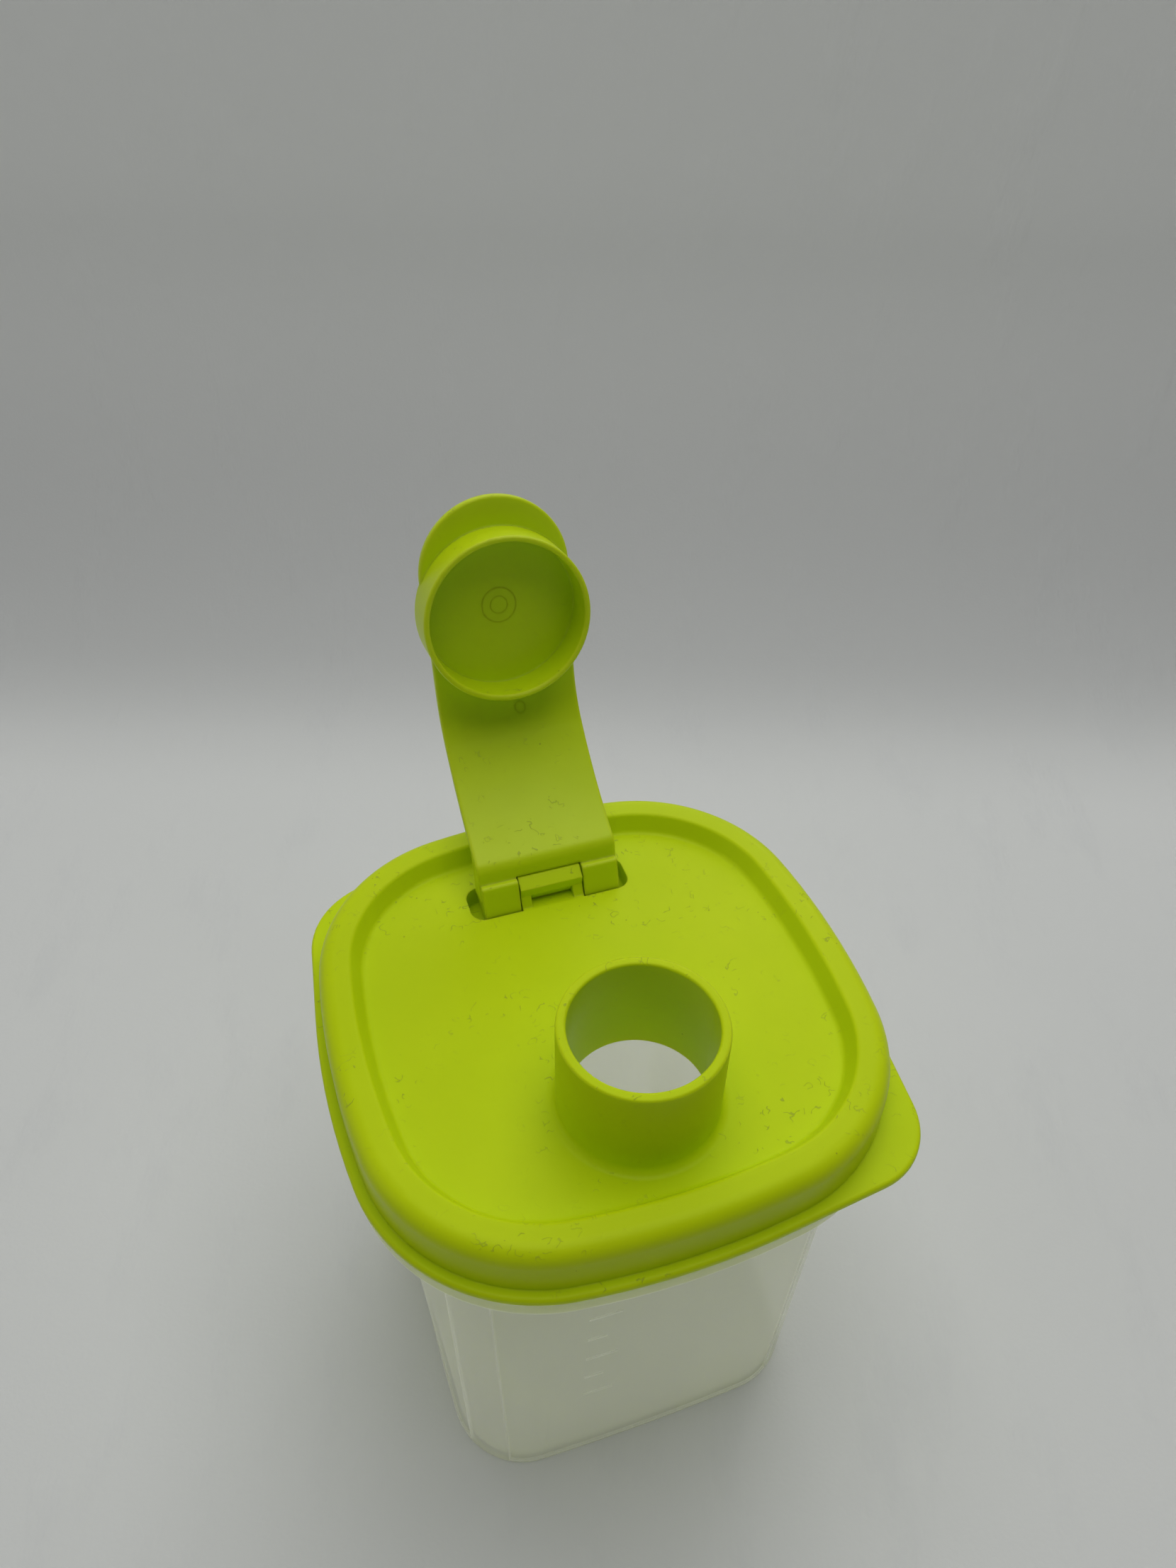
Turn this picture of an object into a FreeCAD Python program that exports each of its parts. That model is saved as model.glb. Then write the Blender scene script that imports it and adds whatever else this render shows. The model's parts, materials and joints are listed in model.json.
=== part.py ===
import FreeCAD, Part
import math
import os

import Sketcher
from FreeCAD import Placement, Rotation, Vector

# A formula dispenser: a translucent square container, a lid with a pouring spout, and
# a cap that flips over on the lid's hinge bar.  Millimetres.  The origin is the centre
# of the container's base, +Z is up, and the hinge runs along X at the back (+Y).

SIZES = {
    # shared by all three pieces
    "edge_round": 0.5,
    "overlap": 0.3,
    # plan outline of the lid's flange: bowed sides and large corners
    "half_width": 54.0,
    "side_radius": 157.0,
    "corner_radius": 36.6,
    # lid, heights
    "panel_top": 109.3,
    "panel_thickness": 1.2,
    "rim_height": 4.0,
    "rim_roof": 1.5,
    "rim_round": 3.2,
    "rim_inner_round": 0.9,
    "panel_round": 1.2,
    "flange_bottom": 101.1,
    "flange_thickness": 2.0,
    "flange_round": 0.8,
    "seal_lip_bottom": 105.5,
    # lid, insets from the flange outline
    "skirt_inset": 1.95,
    "skirt_inner_inset": 3.55,
    "seal_lip_outer_inset": 5.45,
    "seal_lip_inner_inset": 6.65,
    "rim_inner_inset": 8.3,
    "panel_inset": 10.3,
    "dish_wall": 1.3,
    # pull tabs on two opposite corners of the flange
    "tab_angle": 6.5,
    "front_tab_round": 15.0,
    "back_tab_round": 18.0,
    # spout
    "spout_y": -23.56,
    "spout_radius": 15.18,
    "bore_radius": 13.29,
    "spout_height": 21.4,
    "spout_lip_round": 0.5,
    "spout_foot_round": 1.7,
    # hinge pocket in the panel
    "pocket_front": 26.5,
    "pocket_back": 35.9,
    "pocket_half_width": 17.5,
    "pocket_round": 3.0,
    "pocket_depth": 4.6,
    "pocket_wall": 1.3,
    # hinge bar and its lugs
    "hinge_y": 31.1,
    "hinge_height": 1.8,
    "bar_half_width": 6.8,
    "lug_inner": 4.6,
    "lug_toe": 0.6,
    "bar_radius": 4.25,
    "bar_drop": 2.55,
    "bar_back": 3.4,
    "bar_heel": 1.2,
    "bar_crest": 0.8,
    "bar_crest_height": 4.17,
    "bar_brow": 3.1,
    "bar_brow_height": 2.6,
    "bar_face": 2.8,
    "bar_face_height": 0.5,
    "ramp_run": 3.5,
    "ramp_drop": 0.6,
    "bore_clearance": 0.05,
    "bore_end": 4.7,
    # container
    "base_half_width": 41.4,
    "base_side_radius": 600.0,
    "base_corner_radius": 16.8,
    "body_half_width": 47.0,
    "body_side_radius": 320.0,
    "body_corner_radius": 29.8,
    "wall": 1.3,
    "floor": 1.6,
    "base_round": 1.0,
    "collar_inset": 0.6,
    "collar_top": 100.8,
    "collar_bottom": 97.2,
    "neck_inset": 3.85,
    "neck_top": 111.0,
    "window_half_width": 33.6,
    "window_taper": 1.8,
    "window_bottom": 1.6,
    "window_top": 86.5,
    "window_round": 4.0,
    "window_depth": 0.6,
    # cap, in its closed position; heights are above the lid's panel
    "arm_half_width": 15.2,
    "arm_thickness": 1.8,
    "heel_gap": 0.25,
    "heel_top": 4.8,
    "heel_front": 23.2,
    "heel_round": 3.0,
    "slope_radius": 72.0,
    "arch_radius": 21.0,
    "arch_start": -8.0,
    "cap_gap": 0.3,
    "ring_y": -24.35,
    "ring_radius": 17.3,
    "ring_bore": 16.1,
    "ring_depth": 7.8,
    "ring_round": 0.4,
    "grip_y": -32.2,
    "grip_radius": 15.6,
    "foot_inner": 7.1,
    "foot_outer": 14.9,
    "foot_front": 27.1,
    "foot_drop": 1.2,
    "foot_back": 34.2,
    "foot_back_drop": 1.8,
    "foot_round": 3.9,
    "toe_round": 0.7,
    "notch_radius": 4.6,
    "pin_radius": 1.25,
    "pin_end": 5.0,
    "opening_turn": 103.2,
}

# numbers the sketcher uses for its own axes and for the points of an element
X_AXIS = -1
Y_AXIS = -2
START = 1
END = 2
CENTRE = 3

# how closely an edge must match the place where it is looked for
TOLERANCE = 0.02


class Size:
    """A number together with the sheet expression that drives it."""

    def __init__(self, value, text):
        self.value = value
        self.text = text

    def __add__(self, other):
        other = as_size(other)
        return Size(self.value + other.value, f"({self.text} + {other.text})")

    def __sub__(self, other):
        other = as_size(other)
        return Size(self.value - other.value, f"({self.text} - {other.text})")

    def __mul__(self, factor):
        return Size(self.value * factor, f"({self.text} * {factor})")

    def __neg__(self):
        return self * -1


def as_size(value):
    return value if isinstance(value, Size) else Size(value, str(value))


def cell(name):
    return Size(SIZES[name], f"sizes.{name}")


def make_sheet(doc):
    sheet = doc.addObject("Spreadsheet::Sheet", "sizes")
    for row, (name, value) in enumerate(SIZES.items(), 1):
        sheet.set(f"A{row}", name)
        sheet.set(f"B{row}", str(value))
        sheet.setAlias(f"B{row}", name)
    doc.recompute()


# Sketches and features


def make_body(doc, name):
    body = doc.addObject("PartDesign::Body", name)
    body.Label = name
    return body


def make_sketch(body, name, role="XY_Plane", offset=None):
    sketch = body.newObject("Sketcher::SketchObject", name)
    plane = next(item for item in body.Origin.OriginFeatures if item.Role == role)
    sketch.AttachmentSupport = (plane, [""])
    sketch.MapMode = "FlatFace"
    if offset is not None:
        sketch.setExpression(".AttachmentOffset.Base.z", offset.text)
    return sketch


def drive(sketch, kind, *references, size):
    """Add a dimension to the sketch and bind it to the sheet."""
    unit = ""
    value = size.value
    if kind == "Angle":
        unit = " * 1 deg"
        value = math.radians(value)
    index = sketch.addConstraint(Sketcher.Constraint(kind, *references, value))
    sketch.setExpression(f"Constraints[{index}]", size.text + unit)


def place(sketch, item, point, across, up):
    """Fix a point of the sketch at a distance across and up from its origin."""
    drive(sketch, "DistanceX", X_AXIS, START, item, point, size=across)
    drive(sketch, "DistanceY", X_AXIS, START, item, point, size=up)


def arc(sketch, centre, radius, start, end):
    circle = Part.Circle(Vector(centre[0], centre[1], 0), Vector(0, 0, 1), radius)
    return sketch.addGeometry(Part.ArcOfCircle(circle, start, end))


def line(sketch, start, end):
    return sketch.addGeometry(Part.LineSegment(Vector(*start, 0), Vector(*end, 0)))


def tangent(sketch, first, first_point, second, second_point):
    sketch.addConstraint(Sketcher.Constraint("Tangent", first, first_point, second, second_point))


def coincide(sketch, first, first_point, second, second_point):
    sketch.addConstraint(Sketcher.Constraint("Coincident", first, first_point, second, second_point))


def corner_centre(half, side, corner):
    """Distance along each axis from the middle to a corner arc's centre."""
    reach = side - half
    return (math.sqrt(2 * (side - corner) ** 2 - reach ** 2) - reach) / 2


def draw_outline(sketch, half, side, corner, inset):
    """A bowed square: four side arcs joined by four tangent corner arcs."""
    reach = side - half
    centre = corner_centre(half.value, side.value, corner.value)
    spread = math.atan2(centre, centre + reach.value)
    sides = []
    corners = []
    for quarter in range(4):
        turn = quarter * math.pi / 2
        side_centre = (-reach.value * math.cos(turn), -reach.value * math.sin(turn))
        diagonal = turn + math.pi / 4
        far = centre * math.sqrt(2)
        corner_point = (far * math.cos(diagonal), far * math.sin(diagonal))
        sides.append(arc(sketch, side_centre, (side - inset).value, turn - spread, turn + spread))
        corners.append(
            arc(
                sketch,
                corner_point,
                (corner - inset).value,
                turn + spread,
                turn + math.pi / 2 - spread,
            )
        )
    for quarter in range(4):
        tangent(sketch, sides[quarter], END, corners[quarter], START)
        tangent(sketch, corners[quarter], END, sides[(quarter + 1) % 4], START)
        axis = X_AXIS if quarter % 2 == 0 else Y_AXIS
        sketch.addConstraint(Sketcher.Constraint("PointOnObject", sides[quarter], CENTRE, axis))
        drive(sketch, "Distance", sides[quarter], CENTRE, X_AXIS, START, size=reach)
        if quarter:
            sketch.addConstraint(Sketcher.Constraint("Equal", sides[0], sides[quarter]))
            sketch.addConstraint(Sketcher.Constraint("Equal", corners[0], corners[quarter]))
    drive(sketch, "Radius", sides[0], size=side - inset)
    drive(sketch, "Radius", corners[0], size=corner - inset)


def lid_outline(body, name, height, *insets):
    """The lid's plan outline at a height; two insets make a ring."""
    sketch = make_sketch(body, name, offset=height)
    for inset in insets:
        draw_outline(
            sketch, cell("half_width"), cell("side_radius"), cell("corner_radius"), inset
        )
    return sketch


def circle_sketch(body, name, across, up, *radii, role="XY_Plane", offset=None):
    """One circle, or two that make a ring."""
    sketch = make_sketch(body, name, role, offset)
    centre = Vector(across.value, up.value, 0)
    for radius in radii:
        item = sketch.addGeometry(Part.Circle(centre, Vector(0, 0, 1), radius.value))
        place(sketch, item, CENTRE, across, up)
        drive(sketch, "Radius", item, size=radius)
    return sketch


def polygon_sketch(body, name, corners, role="YZ_Plane", offset=None, arcs=None):
    """A closed profile through the corners; arcs maps a side's number to its radius."""
    sketch = make_sketch(body, name, role, offset)
    arcs = arcs or {}
    points = [(across.value, up.value) for across, up in corners]
    items = []
    for number, start in enumerate(points):
        end = points[(number + 1) % len(points)]
        if number in arcs:
            items.append(arc_through(sketch, start, end, arcs[number].value))
        else:
            items.append(line(sketch, start, end))
    for number, item in enumerate(items):
        coincide(sketch, item, END, items[(number + 1) % len(items)], START)
        place(sketch, item, START, *corners[number])
        if number in arcs:
            drive(sketch, "Radius", item, size=arcs[number])
    return sketch


def arc_through(sketch, start, end, radius):
    """The shorter counter-clockwise arc of this radius from start to end."""
    across = end[0] - start[0]
    up = end[1] - start[1]
    chord = math.hypot(across, up)
    rise = math.sqrt(radius ** 2 - chord ** 2 / 4)
    centre = (
        (start[0] + end[0]) / 2 - up / chord * rise,
        (start[1] + end[1]) / 2 + across / chord * rise,
    )
    first = math.atan2(start[1] - centre[1], start[0] - centre[0])
    last = math.atan2(end[1] - centre[1], end[0] - centre[0])
    return arc(sketch, centre, radius, first, last if last > first else last + 2 * math.pi)


def rounded_rectangle(body, name, height, half, front, back, radius):
    """A rectangle centred on X with round corners, at a height."""
    sketch = make_sketch(body, name, offset=height)
    left, right = -half.value, half.value
    low, high, bend = front.value, back.value, radius.value
    sides = [
        line(sketch, (left + bend, low), (right - bend, low)),
        line(sketch, (right, low + bend), (right, high - bend)),
        line(sketch, (right - bend, high), (left + bend, high)),
        line(sketch, (left, high - bend), (left, low + bend)),
    ]
    middles = [
        (right - bend, low + bend),
        (right - bend, high - bend),
        (left + bend, high - bend),
        (left + bend, low + bend),
    ]
    bends = []
    for number, middle in enumerate(middles):
        start = (number - 1) * math.pi / 2
        bends.append(arc(sketch, middle, bend, start, start + math.pi / 2))
    for number, side in enumerate(sides):
        tangent(sketch, side, END, bends[number], START)
        tangent(sketch, bends[number], END, sides[(number + 1) % 4], START)
        kind = "Horizontal" if number % 2 == 0 else "Vertical"
        sketch.addConstraint(Sketcher.Constraint(kind, side))
        if number:
            sketch.addConstraint(Sketcher.Constraint("Equal", bends[0], bends[number]))
    drive(sketch, "Radius", bends[0], size=radius)
    drive(sketch, "DistanceY", X_AXIS, START, sides[0], START, size=front)
    drive(sketch, "DistanceY", X_AXIS, START, sides[2], START, size=back)
    drive(sketch, "DistanceX", X_AXIS, START, sides[1], START, size=half)
    drive(sketch, "DistanceX", X_AXIS, START, sides[3], START, size=-half)
    return sketch


def extrude(kind, sketch, name, length, reverse=False, symmetric=False):
    """A Pad or Pocket of a sketch; the sheet drives its length."""
    body = sketch.getParentGeoFeatureGroup()
    feature = body.newObject(f"PartDesign::{kind}", name)
    feature.Profile = sketch
    feature.setExpression("Length", length.text)
    feature.Reversed = reverse
    if symmetric:
        feature.SideType = "Symmetric"
    return feature


def loft(kind, name, bottom, top):
    body = bottom.getParentGeoFeatureGroup()
    feature = body.newObject(f"PartDesign::{kind}", name)
    feature.Profile = bottom
    feature.Sections = [top]
    feature.Ruled = True
    return feature


def round_edges(body, name, radius, wanted):
    """Fillet the edges of the body's latest feature that pass a test."""
    body.Document.recompute()
    base = body.Tip
    edges = [f"Edge{number}" for number, edge in enumerate(base.Shape.Edges, 1) if wanted(edge)]
    if not edges:
        raise RuntimeError(f"{name}: no edge to round")
    feature = body.newObject("PartDesign::Fillet", name)
    feature.Base = (base, edges)
    feature.setExpression("Radius", radius.text)
    body.Document.recompute()
    return feature


def middle(edge):
    return edge.valueAt((edge.FirstParameter + edge.LastParameter) / 2)


def is_near(number, target):
    return abs(number - target) < TOLERANCE


def at_level(edge, height):
    """Whether the whole edge lies at one height."""
    box = edge.BoundBox
    return is_near(box.ZMin, height) and is_near(box.ZMax, height)


def lid_inset(point):
    """How far a point lies inside the flange outline, seen from above."""
    half, side, corner = (SIZES[name] for name in ("half_width", "side_radius", "corner_radius"))
    centre = corner_centre(half, side, corner)
    reach = side - half
    across, along = sorted((abs(point.x), abs(point.y)), reverse=True)
    if along * (centre + reach) < centre * (across + reach):
        return side - math.hypot(across + reach, along)
    return corner - math.hypot(across - centre, along - centre)


def is_outline(edge, height, inset):
    return at_level(edge, height) and is_near(lid_inset(middle(edge)), inset)


def is_circle(edge, height, radius):
    is_round = isinstance(edge.Curve, Part.Circle) and is_near(edge.Curve.Radius, radius)
    return is_round and at_level(edge, height)


# Container


def body_outline(body, name, height, level, inset):
    """The container's plan outline at its base or at the top of its tapered body."""
    sketch = make_sketch(body, name, offset=height)
    draw_outline(
        sketch,
        cell(f"{level}_half_width"),
        cell(f"{level}_side_radius"),
        cell(f"{level}_corner_radius"),
        inset,
    )
    return sketch


def tapered_block(body, name, kind, bottom, inset):
    """The tapered square form, from its bottom height up to the collar's top."""
    return loft(
        kind,
        name,
        body_outline(body, f"{name}_base", bottom, "base", inset),
        body_outline(body, f"{name}_top", cell("collar_top"), "body", inset),
    )


def container_shell(doc):
    body = make_body(doc, "container_shell")
    none = Size(0.0, "0")
    wall = cell("wall")
    collar_top = cell("collar_top")
    collar_bottom = cell("collar_bottom")
    collar = cell("collar_inset")
    neck = cell("neck_inset")
    tapered_block(body, "walls", "AdditiveLoft", none, none)
    plate = lid_outline(body, "collar_plan", collar_top, collar)
    extrude("Pad", plate, "collar_plate", wall, reverse=True)
    lip = lid_outline(body, "collar_lip_plan", collar_bottom, collar, collar + wall)
    extrude("Pad", lip, "collar_lip", collar_top - collar_bottom)
    rim = lid_outline(body, "neck_plan", collar_top, neck)
    extrude("Pad", rim, "neck", cell("neck_top") - collar_top)
    tapered_block(body, "cavity", "SubtractiveLoft", cell("floor"), wall)
    mouth = lid_outline(body, "mouth_plan", cell("neck_top"), neck + wall)
    extrude("Pocket", mouth, "mouth", cell("neck_top") - collar_top)
    height = SIZES["neck_top"]
    round_edges(body, "neck_round", cell("edge_round"), lambda edge: at_level(edge, height))
    round_edges(body, "base_edge", cell("base_round"), lambda edge: at_level(edge, 0.0))
    return body


def window_block(doc):
    """Two crossed bars that pass through the four faces where the windows are."""
    body = make_body(doc, "window_block")
    low, high = cell("window_bottom"), cell("window_top")
    half, taper = cell("window_half_width"), cell("window_taper")
    bend = cell("window_round")
    reach = cell("half_width") * 2
    corners = [
        (-(half - taper), low),
        (half - taper, low),
        (half, high - bend),
        (half - bend, high),
        (-(half - bend), high),
        (-half, high - bend),
    ]
    for axis in ("XZ_Plane", "YZ_Plane"):
        arcs = {2: bend, 4: bend}
        outline = polygon_sketch(body, f"window_{axis[:2]}", corners, axis, arcs=arcs)
        extrude("Pad", outline, f"window_bar_{axis[:2]}", reach, symmetric=True)
    return body


def window_core(doc):
    """The container's form, set back by the depth of the windows."""
    body = make_body(doc, "window_core")
    tapered_block(body, "core", "AdditiveLoft", Size(0.0, "0"), cell("window_depth"))
    return body


def make_container(doc):
    """The shell with a shallow window let into each of its four sides."""
    recess = doc.addObject("Part::Cut", "window_recess")
    recess.Base = window_block(doc)
    recess.Tool = window_core(doc)
    container = doc.addObject("Part::Cut", "container")
    container.Label = "container"
    container.Base = container_shell(doc)
    container.Tool = recess
    doc.recompute()
    return container


# Lid


def lid_dish(body):
    """Skirt, flange, hollow rim and the sunken panel."""
    doc = body.Document
    bottom = cell("flange_bottom")
    panel = cell("panel_top")
    rim_top = panel + cell("rim_height")
    roof = rim_top - cell("rim_roof")
    none = Size(0.0, "0")
    wall = cell("dish_wall")
    flange = lid_outline(body, "flange_plan", bottom, none)
    extrude("Pad", flange, "flange", cell("flange_thickness"))
    add_tab(body, "front_tab", 1, cell("front_tab_round"))
    add_tab(body, "back_tab", -1, cell("back_tab_round"))
    flange_edges(body)
    skirt = lid_outline(body, "skirt_plan", bottom, cell("skirt_inset"))
    extrude("Pad", skirt, "skirt", rim_top - bottom)
    outer_top = lambda edge: is_outline(edge, rim_top.value, SIZES["skirt_inset"])
    round_edges(body, "rim_edge", cell("rim_round"), outer_top)
    inside = lid_outline(body, "channel_plan", bottom, cell("skirt_inner_inset"))
    extrude("Pocket", inside, "channel", roof - bottom, reverse=True)
    underside = panel - cell("panel_thickness")
    loft(
        "AdditiveLoft",
        "dish",
        lid_outline(body, "dish_bottom", underside, cell("panel_inset") - wall),
        lid_outline(body, "dish_top", rim_top, cell("rim_inner_inset") - wall),
    )
    loft(
        "SubtractiveLoft",
        "recess",
        lid_outline(body, "recess_bottom", panel, cell("panel_inset")),
        lid_outline(body, "recess_top", rim_top, cell("rim_inner_inset")),
    )
    lip = lid_outline(
        body, "seal_lip_plan", roof, cell("seal_lip_outer_inset"), cell("seal_lip_inner_inset")
    )
    extrude("Pad", lip, "seal_lip", roof - cell("seal_lip_bottom"), reverse=True)
    doc.recompute()
    inner_top = lambda edge: is_outline(edge, rim_top.value, SIZES["rim_inner_inset"])
    round_edges(body, "rim_inner_edge", cell("rim_inner_round"), inner_top)
    foot = lambda edge: is_outline(edge, panel.value, SIZES["panel_inset"])
    round_edges(body, "panel_edge", cell("panel_round"), foot)


def add_tab(body, name, side, radius):
    """A pull tab: the flange's sides run on straight and meet in a rounded corner."""
    lean = math.radians(SIZES["tab_angle"])
    reach = SIZES["side_radius"] - SIZES["half_width"]
    across = SIZES["side_radius"] * math.cos(lean) - reach
    along = SIZES["side_radius"] * math.sin(lean)
    angle = "sizes.tab_angle * 1 deg"
    far = Size(side * across, f"({side} * (sizes.side_radius * (cos({angle}) - 1) + sizes.half_width))")
    near = Size(side * along, f"({side} * sizes.side_radius * sin({angle}))")
    run = (across - along) / (math.sin(lean) + math.cos(lean))
    tip = along + run * math.cos(lean)
    cut = radius.value * math.tan(math.pi / 4 - lean)
    start = (across, -along)
    stop = (along, -across)
    bend_start = (tip + cut * math.sin(lean), -tip + cut * math.cos(lean))
    bend_end = (tip - cut * math.cos(lean), -tip - cut * math.sin(lean))
    centre = (bend_end[0] - radius.value * math.sin(lean), bend_end[1] + radius.value * math.cos(lean))
    sketch = make_sketch(body, f"{name}_plan", offset=cell("flange_bottom"))
    points = [start, bend_start, bend_end, stop, (along, -along)]
    points = [(side * point[0], side * point[1]) for point in points]
    first = line(sketch, points[0], points[1])
    turn = 0.0 if side > 0 else math.pi
    bend = arc(
        sketch,
        (side * centre[0], side * centre[1]),
        radius.value,
        turn - math.pi / 2 + lean,
        turn - lean,
    )
    second = line(sketch, points[2], points[3])
    third = line(sketch, points[3], points[4])
    fourth = line(sketch, points[4], points[0])
    tangent(sketch, first, END, bend, END)
    tangent(sketch, second, START, bend, START)
    coincide(sketch, second, END, third, START)
    coincide(sketch, third, END, fourth, START)
    coincide(sketch, fourth, END, first, START)
    place(sketch, first, START, far, -near)
    place(sketch, second, END, near, -far)
    sketch.addConstraint(Sketcher.Constraint("Vertical", third))
    sketch.addConstraint(Sketcher.Constraint("Horizontal", fourth))
    drive(sketch, "Radius", bend, size=radius)
    heading = Size(side * -90.0, str(side * -90)) - cell("tab_angle")
    drive(sketch, "Angle", first, size=heading)
    sketch.addConstraint(Sketcher.Constraint("Equal", first, second))
    extrude("Pad", sketch, name, cell("flange_thickness"))


def flange_edges(body):
    """Round the flange and its tabs all the way round, above and below."""
    bottom = SIZES["flange_bottom"]
    top = bottom + SIZES["flange_thickness"]
    outside = lambda edge: at_level(edge, bottom) or at_level(edge, top)
    round_edges(body, "flange_edge", cell("flange_round"), outside)


def lid_spout(body):
    panel = cell("panel_top")
    underside = panel - cell("panel_thickness")
    across, up = Size(0.0, "0"), cell("spout_y")
    radius, bore = cell("spout_radius"), cell("bore_radius")
    top = panel + cell("spout_height")
    tube = circle_sketch(body, "spout_plan", across, up, radius, offset=underside)
    extrude("Pad", tube, "spout", top - underside)
    hole = circle_sketch(body, "bore_plan", across, up, bore, offset=top)
    extrude("Pocket", hole, "spout_bore", top - underside + cell("overlap"))
    outer = lambda edge: is_circle(edge, top.value, radius.value)
    round_edges(body, "spout_lip", cell("spout_lip_round"), outer)
    inner = lambda edge: is_circle(edge, top.value, bore.value)
    round_edges(body, "spout_bore_lip", cell("edge_round"), inner)
    foot = lambda edge: is_circle(edge, panel.value, radius.value)
    round_edges(body, "spout_foot", cell("spout_foot_round"), foot)


def lid_hinge(body):
    """The pocket in the panel, and in it the bar that carries the cap."""
    panel = cell("panel_top")
    floor = panel - cell("pocket_depth")
    wall = cell("pocket_wall")
    half, bend = cell("pocket_half_width"), cell("pocket_round")
    front, back = cell("pocket_front"), cell("pocket_back")
    box = rounded_rectangle(
        body, "pocket_box_plan", floor - wall, half + wall, front - wall, back + wall, bend + wall
    )
    extrude("Pad", box, "pocket_box", cell("pocket_depth") + wall)
    hollow = rounded_rectangle(body, "pocket_plan", panel, half, front, back, bend)
    extrude("Pocket", hollow, "pocket", cell("pocket_depth"))
    centre_y = cell("hinge_y")
    centre_z = panel + cell("hinge_height")
    lug_width = cell("bar_half_width") - cell("lug_inner")
    sunk_front = front - cell("overlap")
    sunk_floor = floor - cell("overlap")
    bar_bottom = centre_z - cell("bar_drop")
    bar_back = centre_y + cell("bar_back")
    bar_face = centre_y - cell("bar_face")
    bar = [
        (centre_y - cell("bar_heel"), bar_bottom),
        (bar_back, bar_bottom),
        (centre_y - cell("bar_crest"), centre_z + cell("bar_crest_height")),
        (centre_y - cell("bar_brow"), centre_z + cell("bar_brow_height")),
        (bar_face, centre_z + cell("bar_face_height")),
    ]
    lug = [
        (sunk_front, sunk_floor),
        (bar_back, sunk_floor),
        (bar_back, bar_bottom),
        (centre_y - cell("bar_heel"), bar_bottom),
        (bar_face, centre_z + cell("bar_face_height")),
        (front + cell("lug_toe"), panel),
        (sunk_front, panel),
    ]
    whole = cell("bar_half_width") * 2
    section = polygon_sketch(body, "bar_section", bar, arcs={1: cell("bar_radius")})
    extrude("Pad", section, "hinge_bar", whole, symmetric=True)
    for name, side in (("left", -1), ("right", 1)):
        edge = (cell("lug_inner") if side > 0 else cell("bar_half_width")) * side
        post = polygon_sketch(body, f"{name}_lug_section", lug, offset=edge)
        extrude("Pad", post, f"{name}_lug", lug_width)
    ramp = [
        (sunk_front, sunk_floor),
        (front + cell("ramp_run"), sunk_floor),
        (front + cell("ramp_run"), panel - cell("ramp_drop")),
        (front, panel),
        (sunk_front, panel),
    ]
    slope = polygon_sketch(body, "ramp_section", ramp)
    extrude("Pad", slope, "ramp", cell("lug_inner") * 2, symmetric=True)
    bore = cell("pin_radius") + cell("bore_clearance")
    depth = cell("bar_half_width") - cell("bore_end")
    for name, side in (("left", -1), ("right", 1)):
        face = cell("bar_half_width") * side
        hole = circle_sketch(
            body, f"{name}_bore_section", centre_y, centre_z, bore, role="YZ_Plane", offset=face
        )
        extrude("Pocket", hole, f"{name}_pin_bore", depth, reverse=side < 0)


def make_lid(doc):
    body = make_body(doc, "lid")
    lid_dish(body)
    lid_spout(body)
    lid_hinge(body)
    doc.recompute()
    return body


# Cap


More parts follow.
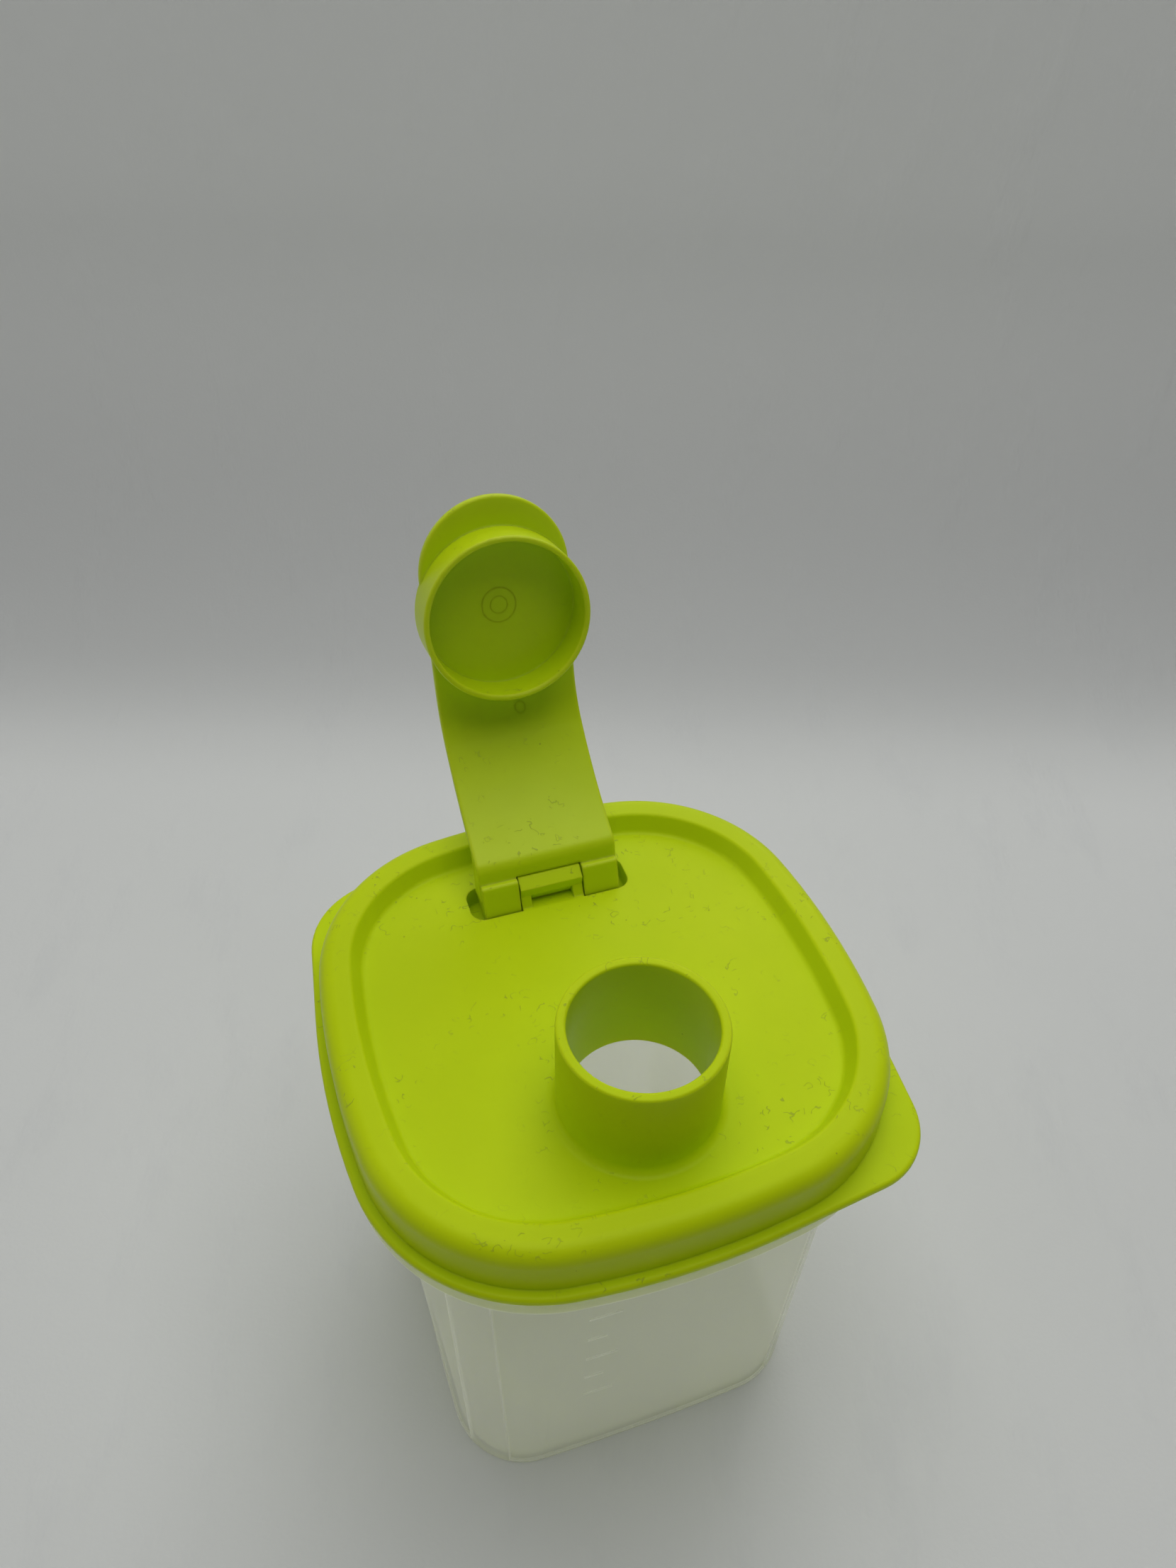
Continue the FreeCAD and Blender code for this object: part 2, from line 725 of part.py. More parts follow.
def arm_section(body):
    """Side view of the arm: heel, slope, arch and the flat plate over the spout."""
    panel = cell("panel_top")
    low = panel + cell("heel_gap")
    plate = panel + cell("spout_height") + cell("cap_gap")
    thick = cell("arm_thickness")
    slope, arch = cell("slope_radius"), cell("arch_radius")
    heel, start = cell("heel_front"), cell("arch_start")
    rear = cell("hinge_y")
    arch_middle = (start.value, plate.value - arch.value)
    span = slope.value - arch.value
    across = heel.value - arch_middle[0]
    up = low.value - arch_middle[1]
    reach = math.hypot(across, up)
    bearing = math.atan2(across, up)
    lean = (slope.value ** 2 - span ** 2 - reach ** 2) / (2 * span * reach)
    tilt = bearing - math.acos(lean)
    slope_middle = (
        arch_middle[0] - span * math.sin(tilt),
        arch_middle[1] - span * math.cos(tilt),
    )
    seam = math.pi / 2 - tilt
    heel_angle = math.atan2(low.value - slope_middle[1], heel.value - slope_middle[0])
    outer_slope = slope.value + thick.value
    heel_top = panel + cell("heel_top")
    top_angle = math.asin((heel_top.value - slope_middle[1]) / outer_slope)
    top_across = slope_middle[0] + outer_slope * math.cos(top_angle)
    end = cell("ring_y")
    sketch = make_sketch(body, "arm_section", "YZ_Plane")
    heel_line = line(sketch, (rear.value, low.value), (heel.value, low.value))
    slope_arc = arc(sketch, slope_middle, slope.value, heel_angle, seam)
    arch_arc = arc(sketch, arch_middle, arch.value, seam, math.pi / 2)
    under = line(sketch, (start.value, plate.value), (end.value, plate.value))
    top = (plate + thick).value
    tip = line(sketch, (end.value, plate.value), (end.value, top))
    over = line(sketch, (end.value, top), (start.value, top))
    outer_arch = arc(sketch, arch_middle, (arch + thick).value, seam, math.pi / 2)
    outer_arc = arc(sketch, slope_middle, outer_slope, top_angle, seam)
    top_line = line(sketch, (top_across, heel_top.value), (rear.value, heel_top.value))
    back = line(sketch, (rear.value, heel_top.value), (rear.value, low.value))
    tangent(sketch, slope_arc, END, arch_arc, START)
    tangent(sketch, arch_arc, END, under, START)
    tangent(sketch, over, END, outer_arch, END)
    tangent(sketch, outer_arch, START, outer_arc, END)
    coincide(sketch, heel_line, END, slope_arc, START)
    coincide(sketch, under, END, tip, START)
    coincide(sketch, tip, END, over, START)
    coincide(sketch, outer_arc, START, top_line, START)
    coincide(sketch, top_line, END, back, START)
    coincide(sketch, back, END, heel_line, START)
    coincide(sketch, slope_arc, CENTRE, outer_arc, CENTRE)
    coincide(sketch, arch_arc, CENTRE, outer_arch, CENTRE)
    for item in (heel_line, under, over, top_line):
        sketch.addConstraint(Sketcher.Constraint("Horizontal", item))
    for item in (tip, back):
        sketch.addConstraint(Sketcher.Constraint("Vertical", item))
    drive(sketch, "Radius", slope_arc, size=slope)
    drive(sketch, "Radius", arch_arc, size=arch)
    drive(sketch, "Radius", outer_arch, size=arch + thick)
    place(sketch, heel_line, START, rear, low)
    drive(sketch, "DistanceX", X_AXIS, START, heel_line, END, size=heel)
    place(sketch, under, START, start, plate)
    drive(sketch, "DistanceX", X_AXIS, START, under, END, size=end)
    drive(sketch, "DistanceY", X_AXIS, START, back, START, size=heel_top)
    return sketch


def cap_plate(body):
    """The arm, the ring that closes over the spout, and the round grip."""
    extrude("Pad", arm_section(body), "arm", cell("arm_half_width") * 2, symmetric=True)
    plate = cell("panel_top") + cell("spout_height") + cell("cap_gap")
    none = Size(0.0, "0")
    thick = cell("arm_thickness")
    for name in ("ring", "grip"):
        disc = circle_sketch(
            body, f"{name}_plan", none, cell(f"{name}_y"), cell(f"{name}_radius"), offset=plate
        )
        extrude("Pad", disc, f"{name}_plate", thick)
    wall = circle_sketch(
        body,
        "ring_wall_plan",
        none,
        cell("ring_y"),
        cell("ring_radius"),
        cell("ring_bore"),
        offset=plate,
    )
    extrude("Pad", wall, "ring", cell("ring_depth"), reverse=True)


def cap_feet(body):
    """Two feet that reach down beside the hinge bar, each with a pin."""
    panel = cell("panel_top")
    centre_y = cell("hinge_y")
    centre_z = panel + cell("hinge_height")
    heel_top = panel + cell("heel_top")
    section = [
        (cell("foot_front"), panel - cell("foot_drop")),
        (cell("foot_back"), panel - cell("foot_back_drop")),
        (centre_y, heel_top),
        (cell("foot_front"), heel_top),
    ]
    width = cell("foot_outer") - cell("foot_inner")
    for name, side in (("left", -1), ("right", 1)):
        face = (cell("foot_inner") if side > 0 else cell("foot_outer")) * side
        foot = polygon_sketch(
            body, f"{name}_foot_section", section, offset=face, arcs={1: cell("foot_round")}
        )
        extrude("Pad", foot, f"{name}_foot", width)
    front, drop = SIZES["foot_front"], (panel - cell("foot_drop")).value
    toe = lambda edge: at_level(edge, drop) and is_near(middle(edge).y, front)
    round_edges(body, "toe_edge", cell("toe_round"), toe)
    notch = circle_sketch(
        body, "notch_section", centre_y, centre_z, cell("notch_radius"), role="YZ_Plane"
    )
    extrude("Pocket", notch, "notch", cell("foot_inner") * 2, symmetric=True)
    pin_length = cell("foot_inner") - cell("pin_end") + cell("overlap")
    for name, side in (("left", -1), ("right", 1)):
        end = cell("pin_end") * side
        pin = circle_sketch(
            body,
            f"{name}_pin_section",
            centre_y,
            centre_z,
            cell("pin_radius"),
            role="YZ_Plane",
            offset=end,
        )
        extrude("Pad", pin, f"{name}_pin", pin_length, reverse=side < 0)


def cap_edges(body):
    """Soften the ring's lip, the heel and the edge of the grip."""
    heel_front = SIZES["heel_front"]
    heel_low = SIZES["panel_top"] + SIZES["heel_gap"]
    heel = lambda edge: at_level(edge, heel_low) and is_near(middle(edge).y, heel_front)
    round_edges(body, "heel_edge", cell("heel_round"), heel)
    plate = (cell("panel_top") + cell("spout_height") + cell("cap_gap")).value
    round_edges(body, "arm_edges", cell("edge_round"), lambda edge: is_arm_edge(edge, plate))
    lip = plate - SIZES["ring_depth"]
    ring_radii = (SIZES["ring_radius"], SIZES["ring_bore"])
    rims = lambda edge: any(is_circle(edge, lip, radius) for radius in ring_radii)
    round_edges(body, "ring_lip", cell("ring_round"), rims)


def is_arm_edge(edge, plate):
    """The long edges of the arm, and the rims of the plates over the ring and the grip."""
    point = middle(edge)
    box = edge.BoundBox
    if is_plate_rim(edge, plate, "grip"):
        return True
    if any(is_plate_rim(edge, plate + SIZES["arm_thickness"], name) for name in ("ring", "grip")):
        return point.y < SIZES["arch_start"]
    on_side = is_near(abs(point.x), SIZES["arm_half_width"]) and is_near(box.XLength, 0.0)
    above_heel = point.z > SIZES["panel_top"] + SIZES["heel_top"] + SIZES["edge_round"]
    return on_side and above_heel and box.YLength > SIZES["edge_round"]


def is_plate_rim(edge, height, name):
    """Whether the edge is part of the ring's or the grip's round outline."""
    if not is_circle(edge, height, SIZES[f"{name}_radius"]):
        return False
    return is_near(edge.Curve.Center.y, SIZES[f"{name}_y"])


def make_cap(doc):
    """The flip cap, built closed and then swung open about the hinge."""
    body = make_body(doc, "flip_cap")
    cap_plate(body)
    cap_feet(body)
    cap_edges(body)
    hinge = Vector(0, SIZES["hinge_y"], SIZES["panel_top"] + SIZES["hinge_height"])
    swing = Rotation(Vector(1, 0, 0), -SIZES["opening_turn"])
    body.Placement = Placement(Vector(0, 0, 0), swing, hinge)
    doc.recompute()
    return body


# Checks and output


def check(doc, parts):
    for item in doc.Objects:
        if "Invalid" in item.State or "Error" in item.State:
            raise RuntimeError(f"{item.Label}: {item.State}")
    for part in parts:
        if part.Shape.isNull() or not part.Shape.isValid():
            raise RuntimeError(f"{part.Label}: no valid shape")
        if len(part.Shape.Solids) != 1:
            raise RuntimeError(f"{part.Label}: {len(part.Shape.Solids)} solids")


def main():
    doc = FreeCAD.newDocument("formula_dispenser")
    make_sheet(doc)
    parts = [make_container(doc), make_lid(doc), make_cap(doc)]
    doc.recompute()
    check(doc, parts)
    os.makedirs("parts", exist_ok=True)
    for part in parts:
        part.Shape.exportStep(f"parts/{part.Label}.step")
        box = part.Shape.BoundBox
        print(f"{part.Label}: volume {part.Shape.Volume / 1000:.1f} cm3, "
              f"{box.XLength:.1f} x {box.YLength:.1f} x {box.ZLength:.1f} mm")


main()
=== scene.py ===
import json
import math

import bpy
from mathutils import Matrix, Vector
from mathutils.bvhtree import BVHTree


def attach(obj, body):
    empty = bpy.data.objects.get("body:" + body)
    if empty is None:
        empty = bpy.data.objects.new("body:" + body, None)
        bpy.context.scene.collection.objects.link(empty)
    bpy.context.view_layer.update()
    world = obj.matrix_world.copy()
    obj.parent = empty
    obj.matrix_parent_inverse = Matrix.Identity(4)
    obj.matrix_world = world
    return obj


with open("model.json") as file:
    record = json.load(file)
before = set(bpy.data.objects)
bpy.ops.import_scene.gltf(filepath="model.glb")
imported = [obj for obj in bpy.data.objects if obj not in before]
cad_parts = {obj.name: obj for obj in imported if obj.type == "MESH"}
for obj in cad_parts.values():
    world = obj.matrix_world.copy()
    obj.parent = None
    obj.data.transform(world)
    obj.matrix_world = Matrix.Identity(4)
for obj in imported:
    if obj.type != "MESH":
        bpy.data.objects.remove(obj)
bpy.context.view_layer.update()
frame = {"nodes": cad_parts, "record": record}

MM = 0.001
SCENE = bpy.context.scene
NODES = frame["nodes"]


def material(name):
    """A new material: (material, its node tree, its Principled shader)."""
    result = bpy.data.materials.new(name)
    result.use_nodes = True
    tree = result.node_tree
    return result, tree, tree.nodes["Principled BSDF"]


class Tree:
    """Short calls that add nodes to a material and join them up."""

    def __init__(self, tree):
        self.tree = tree
        self.place = self.add("ShaderNodeTexCoord").outputs["Object"]
        self.facing = self.tree.nodes[-1].outputs["Normal"]

    def add(self, kind, **values):
        node = self.tree.nodes.new(kind)
        for name, value in values.items():
            setattr(node, name, value)
        return node

    def feed(self, socket, value):
        if isinstance(value, bpy.types.NodeSocket):
            self.tree.links.new(value, socket)
        elif value is not None:
            socket.default_value = value

    def math(self, operation, first, second=None, third=None, clamp=False):
        node = self.add("ShaderNodeMath", operation=operation, use_clamp=clamp)
        for socket, value in zip(node.inputs, (first, second, third)):
            self.feed(socket, value)
        return node.outputs[0]

    def vector(self, operation, first, second=None, output="Vector"):
        node = self.add("ShaderNodeVectorMath", operation=operation)
        self.feed(node.inputs[0], first)
        self.feed(node.inputs[1], second)
        return node.outputs[output]

    def noise(self, scale, detail=2.0, roughness=0.5, place=None):
        node = self.add("ShaderNodeTexNoise")
        self.feed(node.inputs["Vector"], place or self.place)
        node.inputs["Scale"].default_value = scale
        node.inputs["Detail"].default_value = detail
        node.inputs["Roughness"].default_value = roughness
        return node.outputs["Fac"]

    def cells(self, scale):
        """Distance from the nearest of many scattered points, and a random colour for it."""
        node = self.add("ShaderNodeTexVoronoi")
        self.feed(node.inputs["Vector"], self.place)
        node.inputs["Scale"].default_value = scale
        return node.outputs["Distance"], node.outputs["Color"]

    def steps(self, value, low, high):
        """0 below low, 1 above high and smooth between."""
        node = self.add("ShaderNodeMapRange", interpolation_type="SMOOTHSTEP")
        self.feed(node.inputs["Value"], value)
        node.inputs["From Min"].default_value = low
        node.inputs["From Max"].default_value = high
        return node.outputs["Result"]

    def span(self, value, low, high):
        """A 0 to 1 value spread between two numbers."""
        node = self.add("ShaderNodeMapRange")
        self.feed(node.inputs["Value"], value)
        node.inputs["To Min"].default_value = low
        node.inputs["To Max"].default_value = high
        return node.outputs["Result"]

    def mix(self, share, first, second, blend="MIX"):
        node = self.add("ShaderNodeMix", data_type="RGBA", blend_type=blend)
        self.feed(node.inputs["Factor"], share)
        self.feed(node.inputs["A"], first)
        self.feed(node.inputs["B"], second)
        return node.outputs["Result"]

    def axes(self, vector):
        node = self.add("ShaderNodeSeparateXYZ")
        self.feed(node.inputs[0], vector)
        return node.outputs

    def bump(self, height, distance, normal=None):
        node = self.add("ShaderNodeBump")
        self.feed(node.inputs["Height"], height)
        node.inputs["Distance"].default_value = distance
        self.feed(node.inputs["Normal"], normal)
        return node.outputs["Normal"]


LIME = (0.605, 0.768, 0.004, 1)
LIME_PALE = (0.655, 0.815, 0.007, 1)
LIME_DEEP = (0.545, 0.715, 0.002, 1)
LIME_EDGE_LIGHT_AND_WEAR = (0.74, 0.86, 0.05, 1)
SPECK_DARK = (0.16, 0.2, 0.03, 1)
FIBRE_DARK = (0.2, 0.24, 0.06, 1)

MILK = (0.93, 0.95, 0.80, 1)
MILK_PALE = (0.95, 0.965, 0.84, 1)
MILK_BASE = (0.82, 0.84, 0.64, 1)
MILK_COLLAR_GREEN_SHADE = (0.72, 0.80, 0.34, 1)
MILK_EDGE = (1.0, 1.0, 0.94, 1)
MILK_SPECK = (0.5, 0.5, 0.45, 1)
MILK_GLOW = (0.95, 1.0, 0.72, 1)

PAPER = (0.76, 0.775, 0.765, 1)
PAPER_PALE = (0.80, 0.81, 0.80, 1)
PAPER_STREAK = (0.70, 0.715, 0.72, 1)
WALL_FOOT_SHADE = (0.56, 0.57, 0.565, 1)
WALL_TOP_LIGHT = (0.90, 0.91, 0.89, 1)

# Heights in metres where the container's bands start and end: a darker, yellower foot, and under
# the lid a painted olive shade that stands for green light from the lid.
BASE_BAND = (0.001, 0.008)
COLLAR_SHADE_BAND = (0.088, 0.097)
NECK_BAND = (0.101, 0.104)

# In metres: how far back the floor's colour gives way to the wall's painted shade, and the
# heights over which the wall is painted paler, as painted light where less light falls.
WALL_SHADE_START = (0.17, 0.27)
WALL_LIGHT_RISE = (0.0, 0.18)


def lint(tree, amount):
    """Specks and short curled fibres, mostly on faces that look up: (specks, fibres)."""
    upward = tree.axes(tree.facing)["Z"]
    level = tree.span(tree.steps(upward, 0.5, 0.9), 0.15, 1.0)
    distance, colour = tree.cells(620.0)
    channels = tree.add("ShaderNodeSeparateColor")
    tree.feed(channels.inputs[0], colour)
    spread = tree.steps(tree.noise(45.0, 2.0), 0.42, 0.62)
    spread = tree.math("MULTIPLY", spread, level)
    share = tree.math("MULTIPLY_ADD", spread, -amount, 1.0)
    chosen = tree.math("GREATER_THAN", channels.outputs[0], share)
    size = tree.span(channels.outputs[1], 0.04, 0.12)
    specks = tree.math("MULTIPLY", tree.math("LESS_THAN", distance, size), chosen)
    curl = tree.noise(520.0, 1.0)
    line = tree.math("ABSOLUTE", tree.math("SUBTRACT", curl, 0.5))
    thin = tree.math("SUBTRACT", 1.0, tree.steps(line, 0.008, 0.024))
    patches = tree.steps(tree.noise(430.0, 0.0), 0.70 - amount, 0.73 - amount)
    fibres = tree.math("MULTIPLY", tree.math("MULTIPLY", thin, patches), spread)
    return specks, fibres


def edge_share(tree, radius):
    """How near a point is to an edge, by a radius in millimetres: (share, rounded normal)."""
    rounded = tree.add("ShaderNodeBevel", samples=4)
    rounded.inputs["Radius"].default_value = radius * MM
    geometry = tree.add("ShaderNodeNewGeometry")
    bend = tree.vector("DOT_PRODUCT", rounded.outputs[0], geometry.outputs["Normal"], "Value")
    return tree.steps(tree.math("SUBTRACT", 1.0, bend), 0.01, 0.12), rounded.outputs[0]


def plastic_green(name, dust, edge_radius, gloss):
    """Satin lime plastic with a little depth, a fine grain, specks, fibres, and paler edges:
    partly a painted highlight along every edge, partly wear in scuffed patches.
    """
    result, nodes, shader = material(name)
    tree = Tree(nodes)
    cloud = tree.noise(22.0, 3.0)
    colour = tree.mix(tree.steps(cloud, 0.35, 0.7), LIME, LIME_PALE)
    colour = tree.mix(tree.span(tree.noise(95.0, 4.0), 0.0, 0.35), colour, LIME_DEEP)
    edge, rounded = edge_share(tree, edge_radius)
    # Edges painted paler: a painted highlight along every edge, stronger where scuffs of wear
    # fall.
    scuffs = tree.steps(tree.noise(260.0, 3.0), 0.48, 0.62)
    edge_light_and_wear = tree.math("MULTIPLY", edge, tree.span(scuffs, 0.25, 0.8))
    colour = tree.mix(edge_light_and_wear, colour, LIME_EDGE_LIGHT_AND_WEAR)
    specks, fibres = lint(tree, dust)
    colour = tree.mix(tree.math("MULTIPLY", specks, 0.45), colour, SPECK_DARK)
    colour = tree.mix(tree.math("MULTIPLY", fibres, 0.4), colour, FIBRE_DARK)
    tree.feed(shader.inputs["Base Color"], colour)
    smudge = tree.noise(60.0, 4.0, 0.6)
    roughness = tree.span(smudge, 0.28, 0.5)
    roughness = tree.math("ADD", roughness, tree.math("MULTIPLY", specks, 0.3), clamp=True)
    tree.feed(shader.inputs["Roughness"], roughness)
    shader.inputs["Subsurface Weight"].default_value = 0.35
    shader.inputs["Subsurface Radius"].default_value = (1.0, 1.0, 0.12)
    shader.inputs["Subsurface Scale"].default_value = 2.2 * MM
    shader.inputs["IOR"].default_value = 1.5
    shader.inputs["Specular IOR Level"].default_value = gloss
    shader.inputs["Specular Tint"].default_value = (0.8, 0.88, 0.45, 1)
    grain = tree.noise(2600.0, 2.0)
    normal = tree.bump(grain, 0.012 * MM, rounded)
    waves = tree.noise(120.0, 2.0)
    normal = tree.bump(waves, 0.05 * MM, normal)
    raised = tree.math("ADD", specks, fibres)
    normal = tree.bump(raised, 0.05 * MM, normal)
    tree.feed(shader.inputs["Normal"], normal)
    return result


def plastic_milky(name):
    """Translucent milky plastic with a soft cloudiness and a faint inner glow.

    The glow stands for light scattered many times between the walls.
    """
    result, nodes, shader = material(name)
    tree = Tree(nodes)
    cloud = tree.noise(30.0, 3.0)
    colour = tree.mix(cloud, MILK, MILK_PALE)
    height = tree.axes(tree.place)["Z"]
    colour = tree.mix(tree.steps(height, *BASE_BAND), MILK_BASE, colour)
    # Under the lid: painted shade, tinted olive as painted green light from the lid.
    below_neck = tree.math("SUBTRACT", 1.0, tree.steps(height, *NECK_BAND))
    collar_shade = tree.math("MULTIPLY", tree.steps(height, *COLLAR_SHADE_BAND), below_neck)
    colour = tree.mix(collar_shade, colour, MILK_COLLAR_GREEN_SHADE)
    edge = edge_share(tree, 0.7)[0]
    colour = tree.mix(tree.math("MULTIPLY", edge, 0.5), colour, MILK_EDGE)
    specks = lint(tree, 0.04)[0]
    colour = tree.mix(tree.math("MULTIPLY", specks, 0.3), colour, MILK_SPECK)
    tree.feed(shader.inputs["Base Color"], colour)
    tree.feed(shader.inputs["Roughness"], tree.span(tree.noise(140.0, 4.0), 0.42, 0.58))
    shader.inputs["IOR"].default_value = 1.3
    tree.feed(shader.inputs["Alpha"], tree.span(edge, 0.45, 0.68))
    shader.inputs["Coat Weight"].default_value = 0.25
    shader.inputs["Coat Roughness"].default_value = 0.3
    shader.inputs["Emission Color"].default_value = MILK_GLOW
    shader.inputs["Emission Strength"].default_value = 0.066
    shader.inputs["Subsurface Weight"].default_value = 1.0
    shader.inputs["Subsurface Radius"].default_value = (1.0, 1.0, 0.8)
    shader.inputs["Subsurface Scale"].default_value = 6.0 * MM
    normal = tree.bump(tree.noise(2200.0, 2.0), 0.01 * MM)
    normal = tree.bump(tree.noise(90.0, 2.0), 0.06 * MM, normal)
    tree.feed(shader.inputs["Normal"], normal)
    return result


def backdrop_material():
    """Matt paper with faint streaks. The wall is painted darker than the floor as painted shade,
    and paler up the wall as painted light where less light falls.
    """
    result, nodes, shader = material("paper")
    tree = Tree(nodes)
    colour = tree.mix(tree.noise(9.0, 3.0), PAPER, PAPER_PALE)
    stretched = tree.vector("MULTIPLY", tree.place, (40.0, 14.0, 14.0))
    streaks = tree.steps(tree.noise(1.0, 5.0, 0.6, stretched), 0.5, 0.72)
    colour = tree.mix(tree.math("MULTIPLY", streaks, 0.3), colour, PAPER_STREAK)
    place = tree.axes(tree.place)
    # Painted shade and light: the wall darker than the floor at its foot, and paler higher up.
    wall = tree.mix(tree.steps(place["Z"], *WALL_LIGHT_RISE), WALL_FOOT_SHADE, WALL_TOP_LIGHT)
    colour = tree.mix(tree.steps(place["Y"], *WALL_SHADE_START), colour, wall)
    tree.feed(shader.inputs["Base Color"], colour)
    shader.inputs["Roughness"].default_value = 0.75
    creases = tree.bump(streaks, 0.25 * MM)
    tree.feed(shader.inputs["Normal"], tree.bump(tree.noise(900.0, 3.0), 0.05 * MM, creases))
    return result


def dress(node, surface):
    target = NODES[node]
    if not target.material_slots:
        target.data.materials.append(surface)
    for slot in target.material_slots:
        slot.material = surface


CAP_GREEN = plastic_green("cap_green", dust=0.05, edge_radius=0.8, gloss=0.55)
MARK_GREEN = plastic_green("mark_green", dust=0.0, edge_radius=0.05, gloss=0.4)
MILKY = plastic_milky("milky")
LID_GREEN = plastic_green("lid_green", dust=0.09, edge_radius=0.5, gloss=0.18)

dress("lid", LID_GREEN)
dress("flip_cap", CAP_GREEN)
dress("container", MILKY)


# Marks raised from the plastic, in metres. Each is laid on the surface behind its path, found
# by rays that start at FRONT and go back.

FRONT = -0.2
SINK = 0.1 * MM
RING_TO_ARM_MARK = 22.5 * MM
ARM_MARK_ACROSS = 2.2 * MM
BAR_COUNT = 5
BAR_LEFT = -16.0 * MM
BAR_LOWEST = 34.0 * MM
BAR_SPACING = 10.0 * MM
BAR_LONG = 6.5 * MM
BAR_SHORT = 4.0 * MM
BAR_WIDTH = 0.6 * MM
BAR_HEIGHT = 0.18 * MM
BAR_PARTS = 6


def skin_of(node):
    target = NODES[node]
    points = [target.matrix_world @ vertex.co for vertex in target.data.vertices]
    return BVHTree.FromPolygons(points, [face.vertices for face in target.data.polygons])


def raised_line(name, skin, path, width, height, closed=False):
    """A low rib along a path of (across, up) points, laid on the skin it meets behind them."""
    count = len(path)
    sections = []
    for number, point in enumerate(path):
        before = path[number - 1] if number or closed else point
        after = path[(number + 1) % count] if number + 1 < count or closed else point
        along = (after - before).normalized()
        side = Vector((-along.y, along.x)) * width / 2
        feet = []
        for spot in (point - side, point + side):
            hit, normal = skin.ray_cast(Vector((spot.x, FRONT, spot.y)), Vector((0, 1, 0)))[:2]
            outward = normal if normal.y < 0 else -normal
            feet.append((hit - outward * SINK, hit + outward * height))
        sections.extend((feet[0][0], feet[0][1], feet[1][1], feet[1][0]))
    faces = []
    for number in range(count if closed else count - 1):
        near, far = 4 * number, 4 * ((number + 1) % count)
        for corner in range(4):
            turn = (corner + 1) % 4
            faces.append((near + turn, near + corner, far + corner, far + turn))
    if not closed:
        faces.append((0, 1, 2, 3))
        last = 4 * (count - 1)
        faces.append((last + 3, last + 2, last + 1, last))
    mesh = bpy.data.meshes.new(name)
    mesh.from_pydata(sections, [], faces)
    piece = bpy.data.objects.new(name, mesh)
    SCENE.collection.objects.link(piece)
    return piece


def circle(across, up, radius, steps):
    turns = [math.tau * step / steps for step in range(steps)]
    return [
        Vector((across + radius * math.cos(turn), up + radius * math.sin(turn))) for turn in turns
    ]


def add_marks():
    bpy.context.view_layer.update()
    openings = frame["record"]["physics"]["openings"]
    low, high = next(entry["box_m"] for entry in openings if entry["name"] == "cap_ring")
    ring_height = (low[2] + high[2]) / 2
    arm_height = ring_height - RING_TO_ARM_MARK
    cap = skin_of("flip_cap")
    loops = {
        "cap_mark_wide": (circle(0, ring_height, 3.6 * MM, 48), 0.3 * MM, 0.02 * MM),
        "cap_mark_small": (circle(0, ring_height, 1.8 * MM, 32), 0.25 * MM, 0.02 * MM),
        "arm_mark": (
            circle(ARM_MARK_ACROSS, arm_height, 1.1 * MM, 24), 0.25 * MM, 0.08 * MM
        ),
    }
    for name, (path, width, height) in loops.items():
        piece = raised_line(name, cap, path, width, height, closed=True)
        piece.data.materials.append(MARK_GREEN)
        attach(piece, "flip_cap")
    wall = skin_of("container")
    for step in range(BAR_COUNT):
        up = BAR_LOWEST + BAR_SPACING * step
        length = BAR_LONG if step % 2 == 0 else BAR_SHORT
        path = [
            Vector((BAR_LEFT + length * part / BAR_PARTS, up)) for part in range(BAR_PARTS + 1)
        ]
        piece = raised_line(f"level_bar_{step}", wall, path, BAR_WIDTH, BAR_HEIGHT)
        piece.data.materials.append(MILKY)
        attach(piece, "body")


add_marks()


# Floor and backdrop: one sheet that curves up behind the object.

YAW = math.radians(-19.805)


def make_sweep(front, curve_start, bend, top, half_width):
    steps = 24
    profile = [(front, 0.0), (curve_start, 0.0)]
    for step in range(1, steps + 1):
        turn = math.pi / 2 * step / steps
        profile.append((curve_start + bend * math.sin(turn), bend * (1 - math.cos(turn))))
    profile.append((curve_start + bend, top))
    points = []
    for away, height in profile:
        for side in (-half_width, half_width):
            points.append(Vector((side, away, height)))
    faces = [(2 * n, 2 * n + 1, 2 * n + 3, 2 * n + 2) for n in range(len(profile) - 1)]
    mesh = bpy.data.meshes.new("sweep")
    mesh.from_pydata(points, [], faces)
    mesh.shade_smooth()
    sweep = bpy.data.objects.new("sweep", mesh)
    sweep.rotation_euler.z = YAW
    SCENE.collection.objects.link(sweep)
    mesh.materials.append(backdrop_material())
    sweep.visible_shadow = False


make_sweep(front=-1.6, curve_start=0.215, bend=0.145, top=1.8, half_width=2.4)


# Light

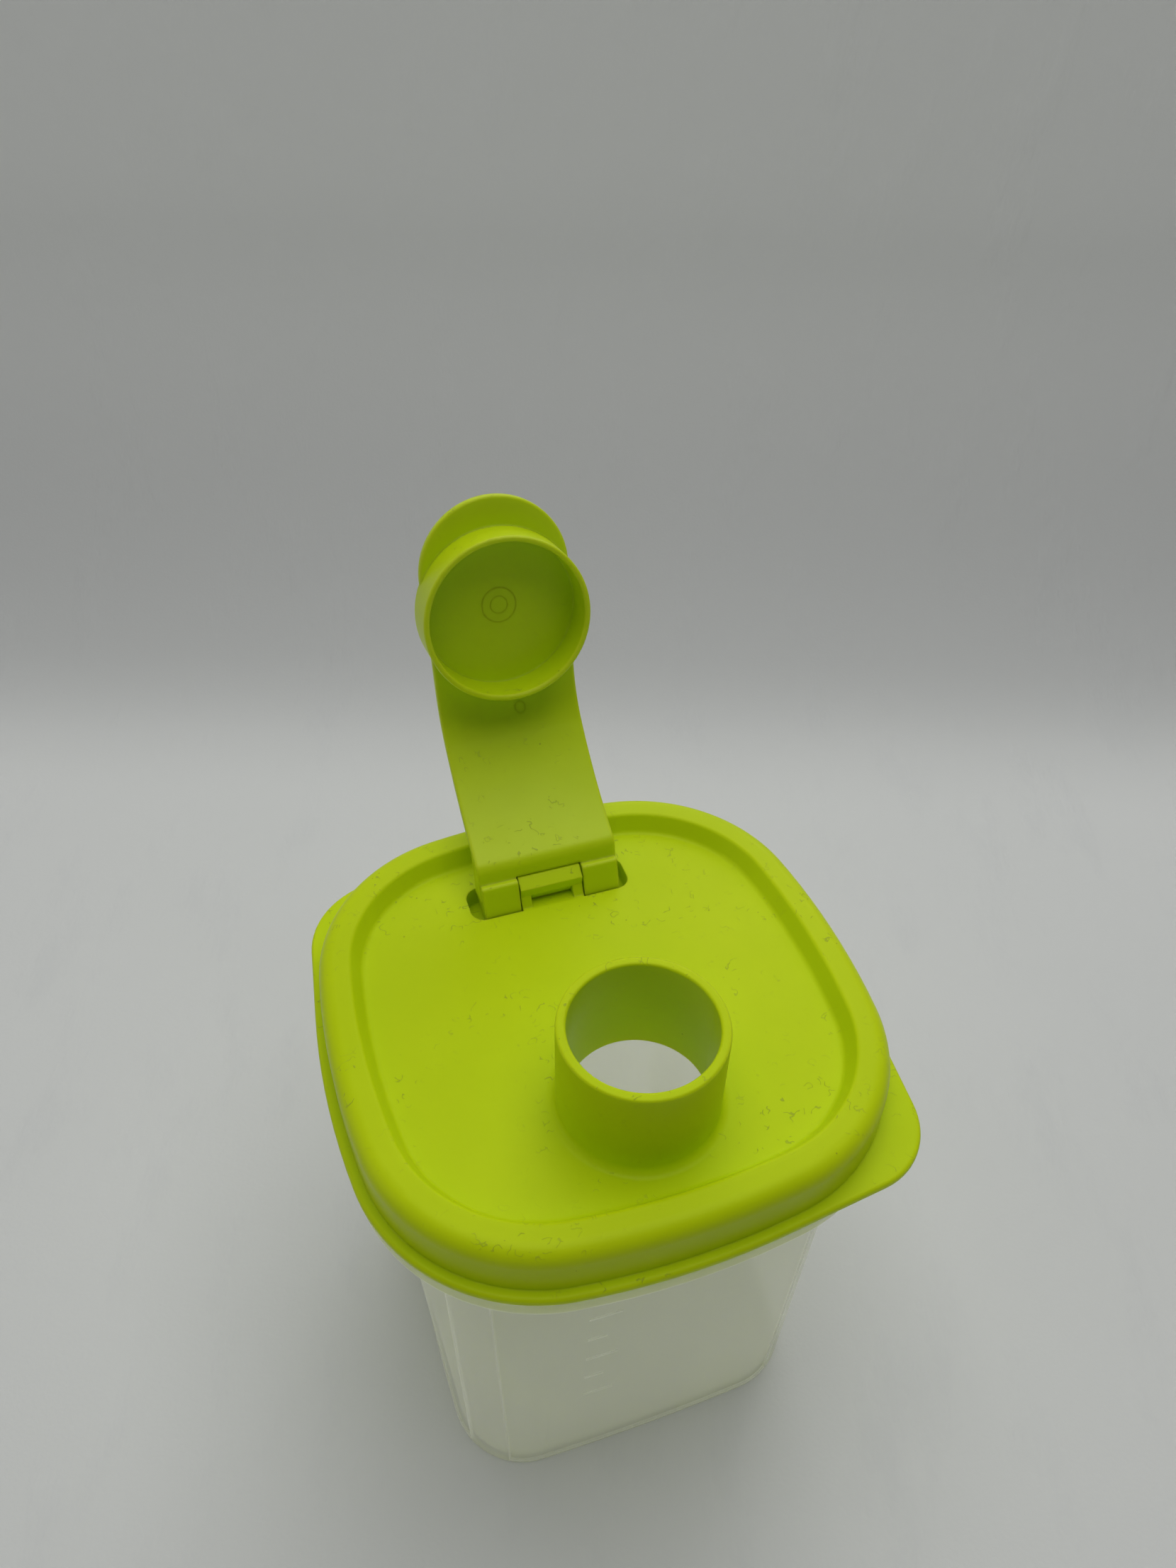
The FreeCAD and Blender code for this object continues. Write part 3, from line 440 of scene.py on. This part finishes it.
def area_light(name, place, target, size, power, colour=(1, 1, 1)):
    data = bpy.data.lights.new(name, "AREA")
    data.shape = "RECTANGLE"
    data.size, data.size_y = size
    data.energy = power
    data.color = colour
    lamp = bpy.data.objects.new(name, data)
    lamp.location = place
    lamp.rotation_euler = (Vector(target) - Vector(place)).to_track_quat("-Z", "Y").to_euler()
    SCENE.collection.objects.link(lamp)


area_light("top", (0.10, 0.02, 1.25), (0.0, 0.03, 0.0), (1.0, 1.0), 6.0, (1.0, 0.995, 0.98))
area_light("behind", (0.75, 1.30, 1.20), (0.0, 0.0, 0.05), (1.2, 1.0), 4.7, (1.0, 1.0, 0.99))
area_light("left", (-1.30, 0.30, 0.60), (0.0, 0.0, 0.05), (0.9, 0.9), 1.35)

world = bpy.data.worlds.new("studio")
world.use_nodes = True
world.node_tree.nodes["Background"].inputs["Color"].default_value = (0.94, 0.97, 1.0, 1)
world.node_tree.nodes["Background"].inputs["Strength"].default_value = 0.095
SCENE.world = world
SCENE.view_settings.view_transform = "Standard"


# Camera: fitted to the photo's view. It aims at a point above the base's centre, and its
# shift (across, up and away from there) is in millimetres, as is the focal length.

PITCH = math.radians(41.551)
ROLL = math.radians(1.233)
AIM_SHIFT = (-1.463, 42.140, 228.953)
AIM_HEIGHT = 109.3
FOCAL = 26.71


def make_camera():
    back = Vector(
        (
            math.sin(YAW) * math.cos(PITCH),
            -math.cos(YAW) * math.cos(PITCH),
            math.sin(PITCH),
        )
    )
    right = Vector((math.cos(YAW), math.sin(YAW), 0.0))
    up = back.cross(right)
    rolled = right * math.cos(ROLL) + up * math.sin(ROLL)
    upright = -right * math.sin(ROLL) + up * math.cos(ROLL)
    across, rise, away = AIM_SHIFT
    place = (back * away + rolled * across + upright * rise) * MM
    place.z += AIM_HEIGHT * MM
    matrix = Matrix((rolled, upright, back)).transposed().to_4x4()
    matrix.translation = place
    data = bpy.data.cameras.new("camera")
    data.lens = FOCAL
    data.sensor_width = 36.0
    data.clip_start = 0.01
    camera = bpy.data.objects.new("camera", data)
    camera.matrix_world = matrix
    SCENE.collection.objects.link(camera)
    SCENE.camera = camera


make_camera()
